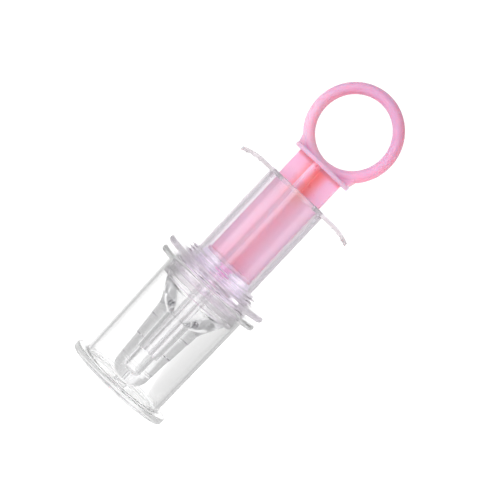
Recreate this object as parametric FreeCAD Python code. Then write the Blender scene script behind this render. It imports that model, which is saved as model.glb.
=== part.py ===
import FreeCAD, Part
import math
import os

# Oral syringe with a soft feeding nipple, standing upright on its dust cover.
# Millimetres. The syringe's axis is Z: the cover's flat base is z = 0, the finger ring is at the top,
# the finger wings lie along X.
#
# How it comes apart: the dust cover pulls off the lock collar, the collar unscrews from the barrel's
# neck and frees the nipple, and the plunger pulls the piston seal out of the barrel.

# Dust cover
cover_base_radius = 19.65
cover_base_height = 2.5
cover_floor = 1.4
cover_wall = 1.35
cover_radius = 16.0
cover_mouth_radius = 16.45
cover_mouth_bore = 15.25
cover_flange_radius = 20.5
cover_flange_z = 43.8
cover_top_z = 45.9
cover_boss_radius = 2.5
cover_boss_top = 2.4
cover_foot_round = 1.4

# Lock collar
collar_front_z = 39.3
collar_lip = 1.6
collar_opening = 13.05
collar_skirt_radius = 15.1
collar_bore = 14.1
collar_step_z = 46.0
collar_body_radius = 15.5
collar_flange_radius = 20.9
collar_flange_z = 47.6
collar_rear_z = 49.8

# Thread between collar and neck: one start, right-handed
thread_pitch = 1.2
neck_core = 13.35
neck_crest = 14.5
thread_wall = 14.75
thread_inner_crest = 13.6
thread_root_width = 0.8
thread_crest_width = 0.2
thread_sink = 0.12
thread_lead_in = 1.2
thread_run_out = 0.8
crest_z = 50.0

# Barrel
bore_radius = 10.25
tube_radius = 11.95
neck_front_z = 42.7
neck_rear_z = 52.9
recess_radius = 11.6
wall_front_z = 47.0
floor_z = 48.6
mouth_z = 89.0
nozzle_tip_z = 15.4
nozzle_tip_radius = 2.95
nozzle_root_radius = 3.3
nozzle_bore = 1.25
nozzle_inlet_flare = 1.0
nozzle_root_round = 1.2

# Finger wings
wing_reach = 23.85
wing_thickness = 1.35
wing_mid_z = 88.17
wing_bend_start = 15.5
wing_bend_radius = 19.0
wing_tip_radius = 9.0
wing_hub_radius = 12.6
wing_cut_room = 6.0
wing_ridges = (16.4, 18.9, 21.4)
wing_ridge_height = 0.3
wing_ridge_width = 0.8

# Nipple
nipple_tip_z = 3.2
nipple_tip_radius = 6.3
nipple_tip_round = 4.4
nipple_outlet = 0.45
nipple_cavity = 2.4
nipple_cavity_z = 6.6
nipple_bands = (
    (9.5, 6.75, 6.8),
    (17.6, 7.25, 7.55),
    (25.7, 8.1, 8.3),
)
nipple_groove_half = 0.35
nipple_groove_depth = 0.15
nipple_stem_top = (8.6, 30.6)
nipple_flare_radius = 12.85
nipple_flare_z = 38.4
nipple_flange_radius = 13.9
nipple_flange_z = 41.0
nipple_rear_z = 42.6
nipple_mouth = 11.6
nipple_flare_wall = 0.6
nozzle_gap = 0.15
nozzle_seat_gap = 0.2

# Piston seal
seal_front_z = 48.8
seal_rear_z = 54.6
seal_radius = 10.2
seal_waist = 9.6
seal_edge = 0.7
seal_lip = 0.8
seal_slope = 0.4
seal_front_wall = 1.2
knob_gap = 0.08

# Plunger
plunger_turn = -14.5
knob_tip_z = 50.15
knob_tip_radius = 1.9
knob_radius = 3.0
knob_neck_radius = 2.0
knob_wide_z = 51.5
knob_back_z = 52.6
disc_front_z = 54.7
disc_thickness = 1.2
disc_radius = 9.4
web_half = 9.3
web_thickness = 1.3
web_root_round = 0.6
plate_front_z = 99.5
plate_rear_z = 101.0
plate_radius = 11.6
ring_centre_z = 115.5
ring_radius = 15.1
ring_section = 2.08
ring_neck_half = 11.0
ring_neck_thickness = 3.5
ring_neck_flare = 0.9
ring_neck_shoulder = 2.4
ring_neck_rise = 1.5
ring_room = 60.0
pin_mark_radius = 1.7
pin_mark_depth = 0.15
pin_mark_at = (5.6, 95.0)

# Roundings that repeat
fine_round = 0.3
edge_round = 0.5
rim_round = 0.9

axis = FreeCAD.Vector(0, 0, 1)
centre = FreeCAD.Vector(0, 0, 0)


def in_xz(across, up):
    return FreeCAD.Vector(across, 0, up)


def in_xy(across, up):
    return FreeCAD.Vector(across, up, 0)


def rounded_wire(corners, plane=in_xz):
    """Closed wire through corners (across, up, rounding radius)."""
    points = [plane(across, up) for across, up, rounding in corners]
    spans = []
    for index, here in enumerate(points):
        rounding = corners[index][2]
        if rounding == 0:
            spans.append((here, None, here))
            continue
        back = (points[index - 1] - here).normalize()
        ahead = (points[(index + 1) % len(points)] - here).normalize()
        half_angle = back.getAngle(ahead) / 2
        inward = (back + ahead).normalize()
        reach = rounding / math.tan(half_angle)
        top = here + inward * (rounding / math.sin(half_angle) - rounding)
        spans.append((here + back * reach, top, here + ahead * reach))
    edges = []
    for index, (start, top, end) in enumerate(spans):
        if top is not None:
            edges.append(Part.Arc(start, top, end).toShape())
        following = spans[(index + 1) % len(spans)][0]
        if (following - end).Length > 1e-6:
            edges.append(Part.makeLine(end, following))
    return Part.Wire(edges)


def turned(corners):
    """Solid of revolution about Z of an outline given as (radius, z, rounding) corners."""
    return Part.Face(rounded_wire(corners)).revolve(centre, axis, 360)


def helical_ridge(foot_radius, crest_radius, start_z, half_turns, envelope):
    """Half-turn pieces of a thread ridge, trimmed so that the ridge fades out inside the envelope."""
    half_root = thread_root_width / 2
    half_crest = thread_crest_width / 2
    outline = Part.makePolygon([
        in_xz(foot_radius, -half_root),
        in_xz(crest_radius, -half_crest),
        in_xz(crest_radius, half_crest),
        in_xz(foot_radius, half_root),
        in_xz(foot_radius, -half_root),
    ])
    helix = Part.makeHelix(thread_pitch, thread_pitch / 2, foot_radius)
    half_turn = Part.Wire(helix.Edges).makePipeShell([outline], True, True)
    pieces = []
    for count in range(half_turns):
        piece = half_turn.copy()
        piece.rotate(centre, axis, 180 * count)
        piece.translate(axis * (start_z + thread_pitch / 2 * count))
        pieces.append(piece.common(envelope))
    return pieces


def dust_cover():
    inner_foot = cover_radius - cover_wall
    outline = [
        (0, 0, 0),
        (cover_base_radius, 0, edge_round),
        (cover_base_radius, cover_base_height, edge_round),
        (cover_radius, cover_base_height, edge_round),
        (cover_mouth_radius, cover_flange_z, fine_round),
        (cover_flange_radius, cover_flange_z, edge_round),
        (cover_flange_radius, cover_top_z, rim_round),
        (cover_mouth_bore, cover_top_z, fine_round),
        (inner_foot, cover_floor, cover_foot_round),
        (cover_boss_radius, cover_floor, fine_round),
        (cover_boss_radius, cover_boss_top, edge_round),
        (0, cover_boss_top, 0),
    ]
    return turned(outline)


def lock_collar():
    outline = [
        (collar_opening, collar_front_z, edge_round),
        (collar_skirt_radius, collar_front_z, edge_round),
        (collar_skirt_radius, collar_step_z, 0),
        (collar_body_radius, collar_step_z, 0.15),
        (collar_body_radius, collar_flange_z, fine_round),
        (collar_flange_radius, collar_flange_z, rim_round),
        (collar_flange_radius, collar_rear_z, rim_round),
        (thread_wall, collar_rear_z, fine_round),
        (thread_wall, collar_step_z, 0),
        (collar_bore, collar_step_z - edge_round, 0),
        (collar_bore, collar_front_z + collar_lip, fine_round),
        (collar_opening, collar_front_z + collar_lip, fine_round),
    ]
    envelope = turned([
        (thread_wall + 2 * thread_sink, collar_step_z, 0),
        (thread_wall + 2 * thread_sink, collar_rear_z, 0),
        (thread_inner_crest - thread_sink, collar_rear_z - thread_run_out, 0),
        (thread_inner_crest - thread_sink, collar_step_z + thread_lead_in, 0),
    ])
    ridge_start = crest_z - 3 * thread_pitch
    ridge = helical_ridge(thread_wall + thread_sink, thread_inner_crest, ridge_start, 6, envelope)
    return turned(outline).fuse(ridge)


def wing_plate():
    """Both finger wings: flat at the hub, curved towards the nipple at the tips, ridged underneath."""
    half = wing_thickness / 2
    bend_centre = wing_mid_z - wing_bend_radius
    top_radius = wing_bend_radius + half
    under_radius = wing_bend_radius - half
    sweep = math.asin((wing_reach + 1.0 - wing_bend_start) / top_radius)

    def on_arc(radius, angle, side):
        across = wing_bend_start + radius * math.sin(angle)
        return in_xz(side * across, bend_centre + radius * math.cos(angle))

    def arc(radius, side):
        return Part.Arc(
            on_arc(radius, 0, side), on_arc(radius, sweep / 2, side), on_arc(radius, sweep, side)
        ).toShape()

    edges = [
        Part.makeLine(on_arc(top_radius, 0, -1), on_arc(top_radius, 0, 1)),
        Part.makeLine(on_arc(under_radius, 0, -1), on_arc(under_radius, 0, 1)),
    ]
    for side in (-1, 1):
        edges.append(arc(top_radius, side))
        edges.append(arc(under_radius, side))
        edges.append(Part.makeLine(on_arc(top_radius, sweep, side), on_arc(under_radius, sweep, side)))
    section = Part.Face(Part.Wire(Part.__sortEdges__(edges)))
    depth = 2 * wing_hub_radius + 2
    sheet = section.extrude(FreeCAD.Vector(0, depth, 0))
    sheet.translate(FreeCAD.Vector(0, -depth / 2, 0))
    for side in (-1, 1):
        for ridge_radius in wing_ridges:
            angle = math.asin(max(0.0, ridge_radius - wing_bend_start) / under_radius)
            foot = on_arc(under_radius, angle, side)
            round_radius = wing_ridge_width / 2
            lift = round_radius - wing_ridge_height
            start = foot + FreeCAD.Vector(0, -depth / 2, lift)
            ridge = Part.makeCylinder(round_radius, depth, start, FreeCAD.Vector(0, 1, 0))
            sheet = sheet.fuse(ridge)
    return sheet.common(wing_outline())


def wing_outline():
    """Upright prism of the wings' plan: an oval made of a hub circle and two tip circles."""
    tip_centre = wing_reach - wing_tip_radius
    low = wing_mid_z - wing_cut_room
    height = 2 * wing_cut_room
    hub = Part.makeCylinder(wing_hub_radius, height, FreeCAD.Vector(0, 0, low))
    lean = math.asin((wing_hub_radius - wing_tip_radius) / tip_centre)
    corners = []
    for side, end in ((1, 1), (1, -1), (-1, -1), (-1, 1)):
        angle = math.pi / 2 - lean
        reach = tip_centre + wing_tip_radius * math.cos(angle)
        corners.append(FreeCAD.Vector(side * reach, end * wing_tip_radius * math.sin(angle), low))
    hub_x = wing_hub_radius * math.sin(lean)
    hub_y = wing_hub_radius * math.cos(lean)
    loop = [
        corners[0],
        FreeCAD.Vector(hub_x, hub_y, low),
        FreeCAD.Vector(-hub_x, hub_y, low),
        corners[3],
        corners[2],
        FreeCAD.Vector(-hub_x, -hub_y, low),
        FreeCAD.Vector(hub_x, -hub_y, low),
        corners[1],
        corners[0],
    ]
    prism = Part.Face(Part.makePolygon(loop)).extrude(FreeCAD.Vector(0, 0, height))
    for side in (-1, 1):
        tip = Part.makeCylinder(wing_tip_radius, height, FreeCAD.Vector(side * tip_centre, 0, low))
        prism = prism.fuse(tip)
    return prism.fuse(hub).removeSplitter()


def barrel():
    outline = [
        (nozzle_bore, nozzle_tip_z, 0.2),
        (nozzle_tip_radius, nozzle_tip_z, edge_round),
        (nozzle_root_radius, wall_front_z, nozzle_root_round),
        (recess_radius, wall_front_z, rim_round),
        (recess_radius, neck_front_z, fine_round),
        (neck_core, neck_front_z, edge_round),
        (neck_core, neck_rear_z, edge_round),
        (tube_radius, neck_rear_z, fine_round),
        (tube_radius, mouth_z, edge_round),
        (bore_radius, mouth_z, edge_round),
        (bore_radius, floor_z, edge_round),
        (nozzle_bore + nozzle_inlet_flare, floor_z, 0),
        (nozzle_bore, floor_z - nozzle_inlet_flare, 0),
    ]
    envelope = turned([
        (neck_core - 2 * thread_sink, collar_step_z + 0.1, 0),
        (neck_crest + thread_sink, collar_step_z + 0.1 + thread_lead_in, 0),
        (neck_crest + thread_sink, neck_rear_z - thread_run_out, 0),
        (neck_core - 2 * thread_sink, neck_rear_z + 0.1, 0),
    ])
    ridge_start = crest_z - 3.5 * thread_pitch
    ridge = helical_ridge(neck_core - thread_sink, neck_crest, ridge_start, 12, envelope)
    core_foot = FreeCAD.Vector(0, 0, wing_mid_z - wing_cut_room)
    core = Part.makeCylinder((bore_radius + tube_radius) / 2, 2 * wing_cut_room, core_foot)
    wings = wing_plate().cut(core)
    return turned(outline).fuse(ridge).fuse(wings)


def nipple():
    outline = [
        (nipple_outlet, nipple_tip_z, 0),
        (nipple_tip_radius, nipple_tip_z, nipple_tip_round),
    ]
    for groove_z, radius_below, radius_above in nipple_bands:
        inner = (radius_below + radius_above) / 2 - nipple_groove_depth
        outline.append((radius_below, groove_z - nipple_groove_half, 0.1))
        outline.append((inner, groove_z, fine_round))
        outline.append((radius_above, groove_z + nipple_groove_half, 0.1))
    bore_tip = nozzle_tip_radius + nozzle_gap
    bore_top = nozzle_root_radius + nozzle_gap / 2
    seat_z = nozzle_tip_z - nozzle_seat_gap
    outline += [
        (nipple_stem_top[0], nipple_stem_top[1], 8.0),
        (nipple_flare_radius, nipple_flare_z, 2.0),
        (nipple_flare_radius, nipple_flange_z, 0),
        (nipple_flange_radius, nipple_flange_z, fine_round),
        (nipple_flange_radius, nipple_rear_z, fine_round),
        (nipple_mouth, nipple_rear_z, fine_round),
        (nipple_mouth, nipple_flare_z + nipple_flare_wall, 2.0),
        (bore_top, nipple_stem_top[1], nozzle_root_round),
        (bore_tip, seat_z, 0),
        (nipple_cavity, seat_z, 0.2),
        (nipple_cavity, nipple_cavity_z, 1.6),
        (nipple_outlet, nipple_cavity_z, 0),
    ]
    return turned(outline)


def piston_seal():
    pocket_front = seal_front_z + seal_front_wall
    lip_end = seal_edge + seal_lip
    waist_start = lip_end + seal_slope
    outline = [
        (0, seal_front_z, 0),
        (seal_waist, seal_front_z, fine_round),
        (seal_radius, seal_front_z + seal_edge, fine_round),
        (seal_radius, seal_front_z + lip_end, fine_round),
        (seal_waist, seal_front_z + waist_start, fine_round),
        (seal_waist, seal_rear_z - waist_start, fine_round),
        (seal_radius, seal_rear_z - lip_end, fine_round),
        (seal_radius, seal_rear_z - seal_edge, fine_round),
        (seal_waist, seal_rear_z, 0),
        (knob_neck_radius + knob_gap, seal_rear_z, 0),
        (knob_neck_radius + knob_gap, knob_back_z + knob_gap, 0),
        (knob_radius + knob_gap, knob_back_z + knob_gap, 0),
        (knob_radius + knob_gap, knob_wide_z, 0),
        (knob_tip_radius + knob_gap, pocket_front, 0),
        (0, pocket_front, 0),
    ]
    return turned(outline)


def cross_webs():
    half = web_thickness / 2
    corners = []
    for quarter in range(4):
        for across, up, rounding in (
            (web_half, -half, fine_round),
            (web_half, half, fine_round),
            (half, half, web_root_round),
        ):
            angle = math.radians(90 * quarter)
            turned_across = across * math.cos(angle) - up * math.sin(angle)
            turned_up = across * math.sin(angle) + up * math.cos(angle)
            corners.append((turned_across, turned_up, rounding))
    start_z = disc_front_z + disc_thickness / 2
    end_z = (plate_front_z + plate_rear_z) / 2
    webs = Part.Face(rounded_wire(corners, in_xy)).extrude(axis * (end_z - start_z))
    webs.translate(axis * start_z)
    return webs


def finger_ring():
    """Round-section ring standing on the thumb plate, with the solid neck that carries it."""
    ring_centre = FreeCAD.Vector(0, 0, ring_centre_z)
    across = FreeCAD.Vector(0, 1, 0)
    foot_z = (plate_front_z + plate_rear_z) / 2
    room_corner = FreeCAD.Vector(-ring_room / 2, -ring_room / 2, foot_z)
    above_plate = Part.makeBox(ring_room, ring_room, ring_room, room_corner)
    ring = Part.makeTorus(ring_radius, ring_section, ring_centre, across).common(above_plate)
    shoulder_half = ring_neck_half + ring_neck_flare
    shoulder_z = plate_rear_z + ring_neck_shoulder
    neck_top_z = shoulder_z + ring_neck_rise
    neck_wire = Part.makePolygon([
        in_xz(-ring_neck_half, foot_z),
        in_xz(ring_neck_half, foot_z),
        in_xz(shoulder_half, shoulder_z),
        in_xz(ring_neck_half, neck_top_z),
        in_xz(-ring_neck_half, neck_top_z),
        in_xz(-shoulder_half, shoulder_z),
        in_xz(-ring_neck_half, foot_z),
    ])
    neck = Part.Face(neck_wire).extrude(across * ring_neck_thickness)
    neck.translate(across * (-ring_neck_thickness / 2))
    hole_start = ring_centre - across * ring_neck_thickness
    hole = Part.makeCylinder(ring_radius - ring_section / 2, 2 * ring_neck_thickness, hole_start, across)
    return ring.fuse(neck.cut(hole))


def plunger():
    head = turned([
        (0, knob_tip_z, 0),
        (knob_tip_radius, knob_tip_z, fine_round),
        (knob_radius, knob_wide_z, 0.2),
        (knob_radius, knob_back_z, 0.15),
        (knob_neck_radius, knob_back_z, 0),
        (knob_neck_radius, disc_front_z, 0),
        (disc_radius, disc_front_z, fine_round),
        (disc_radius, disc_front_z + disc_thickness, fine_round),
        (0, disc_front_z + disc_thickness, 0),
    ])
    plate = turned([
        (0, plate_front_z, 0),
        (plate_radius, plate_front_z, edge_round),
        (plate_radius, plate_rear_z, edge_round),
        (0, plate_rear_z, 0),
    ])
    mark_start = FreeCAD.Vector(pin_mark_at[0], -web_thickness, pin_mark_at[1])
    mark_reach = web_thickness / 2 + pin_mark_depth
    mark = Part.makeCylinder(pin_mark_radius, mark_reach, mark_start, FreeCAD.Vector(0, 1, 0))
    moulding = head.fuse(cross_webs()).fuse(plate).fuse(finger_ring()).cut(mark)
    moulding.rotate(centre, axis, plunger_turn)
    return moulding


def save(name, shape):
    solid = shape.removeSplitter()
    if len(solid.Solids) != 1 or not solid.isValid():
        raise RuntimeError(f"{name}: {len(solid.Solids)} solids, valid {solid.isValid()}")
    print(f"{name}: {solid.Volume:.1f} mm3")
    solid.Solids[0].exportStep(f"parts/{name}.step")


os.makedirs("parts", exist_ok=True)
for piece in (dust_cover, lock_collar, barrel, nipple, piston_seal, plunger):
    save(piece.__name__, piece())
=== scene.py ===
import bpy
import math
from mathutils import Matrix, Vector


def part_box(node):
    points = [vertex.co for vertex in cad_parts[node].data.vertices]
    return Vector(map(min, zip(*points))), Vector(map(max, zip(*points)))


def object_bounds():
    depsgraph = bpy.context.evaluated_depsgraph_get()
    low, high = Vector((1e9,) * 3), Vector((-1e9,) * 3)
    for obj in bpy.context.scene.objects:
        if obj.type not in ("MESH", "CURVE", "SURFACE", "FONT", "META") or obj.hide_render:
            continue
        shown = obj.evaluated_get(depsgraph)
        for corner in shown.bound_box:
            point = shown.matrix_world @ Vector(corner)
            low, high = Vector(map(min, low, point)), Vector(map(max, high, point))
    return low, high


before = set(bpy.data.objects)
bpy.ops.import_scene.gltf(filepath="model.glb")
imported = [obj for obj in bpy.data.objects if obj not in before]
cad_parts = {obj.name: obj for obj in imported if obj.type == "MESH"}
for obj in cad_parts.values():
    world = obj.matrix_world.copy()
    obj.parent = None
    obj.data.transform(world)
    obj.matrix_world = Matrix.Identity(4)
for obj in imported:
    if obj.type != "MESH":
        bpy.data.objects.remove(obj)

MM = 0.001
cad_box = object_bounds()
ground = cad_box[0].z

BACKDROP = 1.15                      # brightness of the surroundings through the clear plastic
FILL = 0.5                           # and as light on matt surfaces
PLASTIC_IOR = 1.49
SILICONE_IOR = 1.41
RIB_TURN = math.radians(14.5)        # from the finger wings to the rod's ribs

grey = (0.80, 0.80, 0.805)
lilac = (0.80, 0.75, 0.81)
clear = (1, 1, 1)


# ---------------------------------------------------------------- node helpers
def new_material(name):
    mat = bpy.data.materials.new(name)
    mat.use_nodes = True
    return mat, mat.node_tree, mat.node_tree.nodes["Principled BSDF"]


def feed(nt, node, inputs):
    """Link or set a node's inputs by name or number. A plain colour is given without its alpha."""
    for name, value in inputs.items():
        socket = node.inputs[name]
        if isinstance(value, bpy.types.NodeSocket):
            nt.links.new(value, socket)
        elif socket.type == "RGBA":
            socket.default_value = (*value, 1)
        else:
            socket.default_value = value


def add_node(nt, kind, inputs=None, **settings):
    node = nt.nodes.new("ShaderNode" + kind)
    for setting, value in settings.items():
        setattr(node, setting, value)
    feed(nt, node, inputs or {})
    return node


def calculate(nt, operation, *values):
    """Output of a maths node, whose values are numbers or other outputs."""
    return add_node(nt, "Math", dict(enumerate(values)), operation=operation).outputs[0]


def calculate_vector(nt, operation, *values):
    """Vector maths node. Its output's name depends on the operation."""
    return add_node(nt, "VectorMath", dict(enumerate(values)), operation=operation)


def own_place(nt):
    """Place in the piece's own frame, in metres."""
    return add_node(nt, "TexCoord").outputs["Object"]


def parts_of(nt, vector):
    """Outputs X, Y and Z of a vector."""
    return add_node(nt, "SeparateXYZ", {0: vector}).outputs


def blend_colours(nt, factor, first, second):
    """The first colour where the factor is 0, the second where it is 1."""
    mix = add_node(nt, "Mix", {"Factor": factor, "A": first, "B": second}, data_type="RGBA")
    return mix.outputs["Result"]


def smooth_step(nt, value, low, high):
    """0 below one limit, 1 above the other, and a smooth rise from one to the other."""
    return add_node(nt, "MapRange", {"Value": value, "From Min": low, "From Max": high},
                    interpolation_type="SMOOTHSTEP").outputs[0]


def remap(nt, value, low, high):
    """A value from 0 to 1, moved to lie between two limits."""
    return add_node(nt, "MapRange", {"Value": value, "To Min": low, "To Max": high}).outputs[0]


def noise(nt, scale, detail):
    """Fine unevenness from 0 to 1. The scale is in grains for each metre."""
    texture = add_node(nt, "TexNoise", {"Vector": own_place(nt), "Scale": scale, "Detail": detail})
    return texture.outputs["Fac"]


def between(nt, value, low, high):
    """1 where a value lies between two limits, 0 elsewhere."""
    return calculate(nt, "COMPARE", value, (low + high) / 2, (high - low) / 2)


def height_band(nt, low, high):
    """1 between two heights, 0 elsewhere."""
    return between(nt, parts_of(nt, own_place(nt))["Z"], low, high)


def outer_skin(nt, low, high):
    """1 between two distances from the syringe's axis, 0 elsewhere."""
    flat = calculate_vector(nt, "MULTIPLY", own_place(nt), (1, 1, 0))
    length = calculate_vector(nt, "LENGTH", flat.outputs[0])
    return between(nt, length.outputs["Value"], low, high)


# ---------------------------------------------------------------- camera
def make_camera():
    """Long lens, level with the syringe's middle, rolled so that the syringe lies along the diagonal."""
    lens = 140.0
    sensor = 36.0
    view_width = 166.667 * MM        # what the picture spans at the target
    elevation = math.radians(2.5)
    roll = math.radians(43.2)
    target_across = 1.6 * MM
    target_share = 0.478             # of the syringe's height
    height = cad_box[1].z - ground
    target = Vector((target_across, 0, ground + target_share * height))
    back = Vector((0, -math.cos(elevation), math.sin(elevation)))
    level_right = Vector((1, 0, 0))
    level_up = back.cross(level_right)
    right = level_right * math.cos(roll) + level_up * math.sin(roll)
    up = level_up * math.cos(roll) - level_right * math.sin(roll)
    data = bpy.data.cameras.new("camera")
    data.lens = lens
    data.sensor_width = sensor
    data.clip_start = 0.01
    data.clip_end = 50
    camera = bpy.data.objects.new("camera", data)
    bpy.context.scene.collection.objects.link(camera)
    turn = Matrix((right, up, back)).transposed().to_4x4()
    camera.matrix_world = Matrix.Translation(target + back * (lens / sensor * view_width)) @ turn
    bpy.context.scene.camera = camera


# ---------------------------------------------------------------- stage and light
def make_world():
    """White all round: as bright as the backdrop through the clear plastic, softer as fill light."""
    world = bpy.data.worlds.new("studio")
    bpy.context.scene.world = world
    world.use_nodes = True
    nt = world.node_tree
    matt = add_node(nt, "LightPath").outputs["Is Diffuse Ray"]
    strength = add_node(nt, "Mix", {"Factor": matt, "A": BACKDROP, "B": FILL}, data_type="FLOAT")
    feed(nt, nt.nodes["Background"], {"Color": (1, 1, 1), "Strength": strength.outputs[0]})


def make_floor():
    """Pale floor in two planes.

    One lies just under the cover, for light and reflections, and the camera sees past it. The other
    lies lower and only the camera sees it, so that a cover that is pulled off stays in view."""
    half = 20.0                      # of its width, in metres
    just_under = 0.02 * MM
    below_pulled_cover = 60 * MM
    mesh = bpy.data.meshes.new("floor")
    corners = [(-half, -half, 0), (half, -half, 0), (half, half, 0), (-half, half, 0)]
    mesh.from_pydata(corners, [], [(0, 1, 2, 3)])
    mat, nt, shader = new_material("pale_floor")
    feed(nt, shader, {"Base Color": (0.9, 0.9, 0.9), "Roughness": 0.7,
                      "Emission Color": (1, 1, 1), "Emission Strength": 0.6})
    mesh.materials.append(mat)
    for name, drop, for_camera in (("floor", just_under, False),
                                   ("camera_floor", below_pulled_cover, True)):
        floor = bpy.data.objects.new(name, mesh)
        floor.location.z = ground - drop
        floor.visible_camera = for_camera
        floor.visible_diffuse = not for_camera
        floor.visible_glossy = not for_camera
        floor.visible_transmission = not for_camera
        floor.visible_shadow = not for_camera
        bpy.context.scene.collection.objects.link(floor)


def area_light(name, place, size, power):
    """Soft box turned to the middle of the syringe."""
    middle = Vector((0, 0, 65 * MM))
    data = bpy.data.lights.new(name, "AREA")
    data.shape = "RECTANGLE"
    data.size, data.size_y = size
    data.energy = power
    light = bpy.data.objects.new(name, data)
    light.location = place
    light.rotation_euler = (Vector(place) - middle).to_track_quat("Z", "Y").to_euler()
    bpy.context.scene.collection.objects.link(light)


def cove_card(name, side, depth, stops, start=21 * MM, near=5 * MM):
    """Grey card that lies on the floor beside the syringe and turns up at its far end.

    It fans out from a corner (start) to the right (side 1) or left (side -1) of the syringe, and to
    behind it (depth 1) or in front (depth -1). Its brightness follows (azimuth in degrees, value)
    stops. Only light that the clear plastic bends sees it, as the darker lines along the edges. To
    light that the pink plastic has scattered it is white."""
    far = 0.9
    height = 0.6
    drop = (0.01 if depth > 0 else 0.015) * MM    # just over the floor, front and back apart
    points = []
    for radius, z in ((near, 0), (far, 0), (far, height)):
        for azimuth, _ in (stops[0], stops[-1]):
            bearing = math.radians(side * azimuth)
            across = side * start + radius * math.sin(bearing)
            points.append((across, depth * radius * math.cos(bearing), z))
    mesh = bpy.data.meshes.new(name)
    mesh.from_pydata(points, [], [(0, 1, 3, 2), (2, 3, 5, 4)])
    card = bpy.data.objects.new(name, mesh)
    card.location.z = ground - drop
    card.visible_camera = False
    card.visible_diffuse = False
    card.visible_glossy = False
    card.visible_shadow = False
    bpy.context.scene.collection.objects.link(card)

    mat, nt, shader = new_material(name)
    place = parts_of(nt, own_place(nt))
    bearing = calculate(nt, "ARCTAN2",
                        calculate(nt, "MULTIPLY_ADD", place["X"], side, -start),
                        calculate(nt, "MULTIPLY", place["Y"], depth))
    widest = stops[-1][0]
    ramp = add_node(nt, "ValToRGB", {0: calculate(nt, "DIVIDE", bearing, math.radians(widest))})
    for i, (azimuth, value) in enumerate(stops):
        element = ramp.color_ramp.elements[i] if i < 2 else ramp.color_ramp.elements.new(1)
        element.position = azimuth / widest
        element.color = (value, value, value, 1)
    scattered = add_node(nt, "LightPath").outputs["Diffuse Depth"]
    seen = blend_colours(nt, scattered, ramp.outputs[0], (BACKDROP, BACKDROP, BACKDROP))
    feed(nt, shader, {"Base Color": (0, 0, 0), "Specular IOR Level": 0,
                      "Emission Color": seen, "Emission Strength": 1})
    mesh.materials.append(mat)


# ---------------------------------------------------------------- clear plastic and silicone
def tint_with_painted_rim_shade(nt, tint, patches, edge, low, high):
    """Tint with patches of other colours, which deepens to the edge colour where the skin turns away: a
    painted shade for the darker surroundings that clear plastic bends in at its edges.

    The skin lies between two distances from the axis. Patches are (mask, low, high, colour)."""
    for mask, patch_low, patch_high, colour in patches:
        tint = blend_colours(nt, mask(nt, patch_low, patch_high), tint, colour)
    starts, full = 0.35, 0.75        # 0 faces the viewer, 1 is seen edge on
    facing = add_node(nt, "LayerWeight", {"Blend": 0.5}).outputs["Facing"]
    # painted shade on the outer skin where it is seen edge on
    rim = calculate(nt, "MULTIPLY", smooth_step(nt, facing, starts, full), outer_skin(nt, low, high))
    return blend_colours(nt, rim, tint, edge)


def clarity(nt, cloudy):
    """What is left of 1 after cloudy zones of (mask, low, high, share that the zone scatters)."""
    left = 1.0
    for mask, low, high, share in cloudy:
        left = calculate(nt, "MULTIPLY_ADD", mask(nt, low, high), -share, left)
    return left


def clear_material(name, tint, absorb, density, rim=None, patches=(), cloudy=(), rough=(0.02, 0.05),
                   ior=PLASTIC_IOR):
    """Clear surface over a body that takes up light. The rim, if any, is (edge colour, low, high), where
    the edge colour is a painted shade.
    """
    mat, nt, shader = new_material(name)
    feed(nt, shader, {"Base Color": tint_with_painted_rim_shade(nt, tint, patches, *rim) if rim else tint,
                      "IOR": ior,
                      "Transmission Weight": clarity(nt, cloudy),
                      "Roughness": remap(nt, noise(nt, scale=260, detail=3), *rough)})
    body = add_node(nt, "VolumeAbsorption", {"Color": absorb, "Density": density})
    feed(nt, nt.nodes["Material Output"], {"Volume": body.outputs[0]})
    return mat


def seal_material_with_painted_glow():
    """Silicone with a trace of painted glow, a lilac emission that stands in for the milky light that
    the seal shows through the neck.
    """
    mat = clear_material("seal_silicone", tint=(1, 0.98, 1), absorb=lilac, density=1,
                         rough=(0.18, 0.26), ior=SILICONE_IOR)
    nt = mat.node_tree
    # painted glow
    feed(nt, nt.nodes["Principled BSDF"], {"Emission Color": (0.8, 0.7, 1), "Emission Strength": 0.06})
    return mat


# ---------------------------------------------------------------- pink plastic
def along_rib(nt, share):
    """Distance along the rod's ribs from its axis, or a share of it along the front and back ribs."""
    turned = add_node(nt, "VectorRotate", {"Vector": own_place(nt), "Angle": RIB_TURN},
                      rotation_type="Z_AXIS")
    size = calculate_vector(nt, "ABSOLUTE", turned.outputs[0])
    shares = calculate_vector(nt, "MULTIPLY", size.outputs[0], (1, share, 1))
    along = parts_of(nt, shares.outputs[0])
    return calculate(nt, "MAXIMUM", along["X"], along["Y"])


def turned_to(nt, direction):
    """Cosine between the surface's own normal and a direction in the piece's frame."""
    normal = add_node(nt, "TexCoord").outputs["Normal"]
    return calculate_vector(nt, "DOT_PRODUCT", normal, direction).outputs["Value"]


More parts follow.
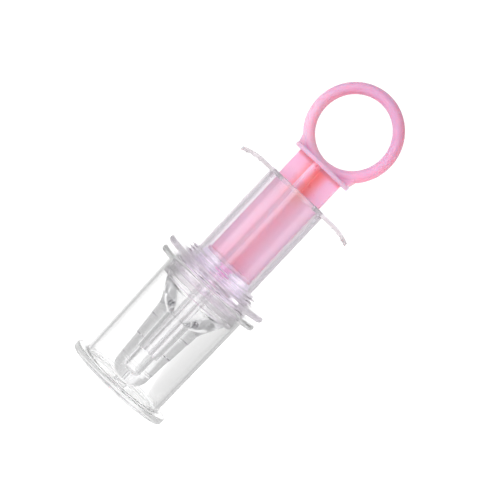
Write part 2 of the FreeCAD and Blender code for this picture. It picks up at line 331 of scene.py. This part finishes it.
def ring_colour_with_painted_light(nt, across, height, plate):
    """Painted light: mauve as a painted highlight where it faces left and front, rosier painted shade
    elsewhere, deeper painted shade to the right and at the far end, and a lilac painted sheen on the
    thumb plate's rim.
    """
    # lilac painted sheen on the thumb plate's rim
    painted_sheen_on_plate_rim = (0.67, 0.45, 0.62)
    # the direction that the painted highlight faces
    painted_light_direction = (-0.75, -0.66, 0)
    lit = smooth_step(nt, turned_to(nt, painted_light_direction), -0.1, 0.95)
    # painted shade (rosier) and painted highlight (mauve), on the left
    left = blend_colours(nt, lit, (0.83, 0.41, 0.52), (0.83, 0.52, 0.68))
    # deeper painted shade to the right
    right = blend_colours(nt, lit, (0.79, 0.33, 0.46), (0.79, 0.43, 0.64))
    # deepest painted shade, at the ring's far end
    far = blend_colours(nt, lit, (0.69, 0.26, 0.38), (0.69, 0.37, 0.57))
    near = blend_colours(nt, smooth_step(nt, across, -8 * MM, 10 * MM), left, right)
    ring = blend_colours(nt, smooth_step(nt, height, plate + 6 * MM, plate + 28 * MM), near, far)
    above_rim = smooth_step(nt, height, plate + 1.4 * MM, plate + 2.2 * MM)
    return blend_colours(nt, above_rim, painted_sheen_on_plate_rim, ring)


def rod_colour_with_painted_shade(nt, height, plate, behind_knob):
    """Pink with painted shade: deeper where the ribs meet, a deep red-pink painted shadow where they
    meet by the thumb plate, darker painted shade at the ribs' edges and a painted shade line under the
    thumb plate.
    """
    knob = (1.0, 0.50, 0.80)
    open_rod = (0.99, 0.60, 0.80)
    # painted shade where the ribs meet
    painted_root_shade = (0.95, 0.40, 0.58)
    # painted shadow: coral where the ribs meet by the thumb plate
    painted_coral_shadow = (0.97, 0.33, 0.34)
    # painted shade on the ribs' edges
    painted_rib_edge_shade = (0.86, 0.50, 0.66)
    plate_shade = (0.80, 0.36, 0.46)
    by_plate = smooth_step(nt, height, plate - 18 * MM, plate - 10 * MM)
    out_of_root = smooth_step(nt, along_rib(nt, 0.6), 1.2 * MM, 5.8 * MM)
    at_rib_edge = smooth_step(nt, along_rib(nt, 1), 8.9 * MM, 9.2 * MM)
    under_plate = calculate(nt, "SUBTRACT",
                            smooth_step(nt, height, plate - 1.7 * MM, plate - 0.4 * MM),
                            smooth_step(nt, height, plate - 0.05 * MM, plate + 0.05 * MM))
    roots = blend_colours(nt, behind_knob, knob, blend_colours(nt, by_plate, painted_root_shade, painted_coral_shadow))
    rod = blend_colours(nt, behind_knob, knob, open_rod)
    rod = blend_colours(nt, out_of_root, roots, rod)
    rod = blend_colours(nt, at_rib_edge, rod, painted_rib_edge_shade)
    return blend_colours(nt, under_plate, rod, plate_shade)


def pink_material():
    """Pink plastic that scatters light inside it, with painted light in its colour: painted highlights
    and deeper painted shade on the thick ring, painted shade on the rod and in the ring's nooks, and a
    faint painted glow at the knob.
    """
    ring_height = 33.2 * MM          # from the thumb plate's underside to the top of the ring
    painted_shade_reach = 4.6 * MM
    ring_painted_nook_shade = (0.80, 0.43, 0.64)
    knob_painted_glow = (0.22, 0.02, 0.10)   # painted glow: an emission that brightens the knob where it is seen through the seal
    mat, nt, shader = new_material("pink_plastic")
    place = parts_of(nt, own_place(nt))
    height = place["Z"]
    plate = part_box("plunger")[1].z - ring_height
    knob_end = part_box("piston_seal")[1].z
    in_ring = smooth_step(nt, height, plate, plate + 0.1 * MM)
    behind_knob = smooth_step(nt, height, knob_end - 0.6 * MM, knob_end)
    rod = rod_colour_with_painted_shade(nt, height, plate, behind_knob)
    in_the_open = blend_colours(nt, in_ring, rod, ring_colour_with_painted_light(nt, place["X"], height, plate))
    painted_nook_shade = blend_colours(nt, in_ring, rod, ring_painted_nook_shade)
    # painted shade: the ring turns deeper where the occlusion finds nooks
    nook = add_node(nt, "AmbientOcclusion", {"Distance": painted_shade_reach}, only_local=True, samples=8)
    openness = smooth_step(nt, nook.outputs["AO"], 0.4, 0.9)
    grain = add_node(nt, "Bump", {"Height": noise(nt, scale=900, detail=2), "Strength": 0.08,
                                  "Distance": 0.05 * MM})
    feed(nt, shader, {"Base Color": blend_colours(nt, openness, painted_nook_shade, in_the_open),
                      # painted glow at the knob
                      "Emission Color": blend_colours(nt, behind_knob, knob_painted_glow, (0, 0, 0)),
                      "Emission Strength": 1,
                      "IOR": PLASTIC_IOR,
                      "Subsurface Weight": 0.9,
                      "Subsurface Radius": (1.0, 0.15, 0.18),
                      "Subsurface Scale": 2.2 * MM,
                      "Roughness": remap(nt, noise(nt, scale=300, detail=3), 0.24, 0.34),
                      "Normal": grain.outputs[0]})
    return mat


def dress(node, mat):
    """Give a piece its material, as the only one."""
    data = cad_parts[node].data
    data.materials.clear()
    data.materials.append(mat)


# ---------------------------------------------------------------- the scene
make_camera()
make_world()
make_floor()
area_light("key", place=(-0.55, -0.45, 0.25), size=(0.45, 0.6), power=1.7)
area_light("side_box", place=(0.62, -0.2, 0.1), size=(0.34, 0.7), power=1.2)
area_light("front_box", place=(-0.11, -0.8, 0.1), size=(0.21, 0.58), power=0.8)
cove_card("card_left", -1, 1, ((20, 1.0), (28, 0.66), (50, 0.62), (60, 0.5), (98, 0.48)))
cove_card("card_right", 1, 1, ((0.5, 1.0), (3, 0.86), (10, 0.78), (24, 0.66), (98, 0.62)),
          start=12 * MM, near=30 * MM)
for name, side in (("card_left_front", -1), ("card_right_front", 1)):
    cove_card(name, side, -1, ((20, 1.0), (28, 0.76), (82, 0.7)))

scene = bpy.context.scene
scene.view_settings.view_transform = "Standard"
through_clear = 64                   # enough for light to pass every clear wall in its way
scene.cycles.max_bounces = through_clear
scene.cycles.transmission_bounces = through_clear
scene.cycles.glossy_bounces = through_clear
scene.cycles.diffuse_bounces = 8

# The rim colours below are painted shade for the edges of the clear plastic.
cover_base = (height_band, -1 * MM, 2.4 * MM)
dress("dust_cover", clear_material(
    "clear_cover", tint=clear, absorb=grey, density=16,
    rim=((0.5, 0.5, 0.505), 15.7 * MM, 16.8 * MM),
    cloudy=((*cover_base, 0.1),)))

collar_front = (height_band, 39 * MM, 45.5 * MM)
dress("lock_collar", clear_material(
    "clear_collar", tint=(0.99, 0.97, 0.99), absorb=lilac, density=25,
    rim=((0.6, 0.56, 0.61), 15.0 * MM, 15.7 * MM),
    cloudy=((*collar_front, 0.1),)))

nozzle = (height_band, 0, 42.5 * MM)
tube = (height_band, 53.5 * MM, 87.3 * MM)
mouth = (height_band, 87.3 * MM, 89.2 * MM)
wings = (outer_skin, 14.9 * MM, 30 * MM)
dress("barrel", clear_material(
    "clear_barrel", tint=(0.99, 0.965, 1), absorb=lilac, density=60,
    rim=((0.66, 0.58, 0.66), 11.6 * MM, 12.4 * MM),
    patches=((*nozzle, clear), (*wings, (0.92, 0.87, 0.89))),
    cloudy=((*tube, 0.09), (*mouth, 0.15), (*wings, 0.25))))

dress("nipple", clear_material(
    "nipple_silicone", tint=clear, absorb=(0.75, 0.75, 0.76), density=70,
    rough=(0.03, 0.06), ior=SILICONE_IOR))
dress("piston_seal", seal_material_with_painted_glow())
dress("plunger", pink_material())
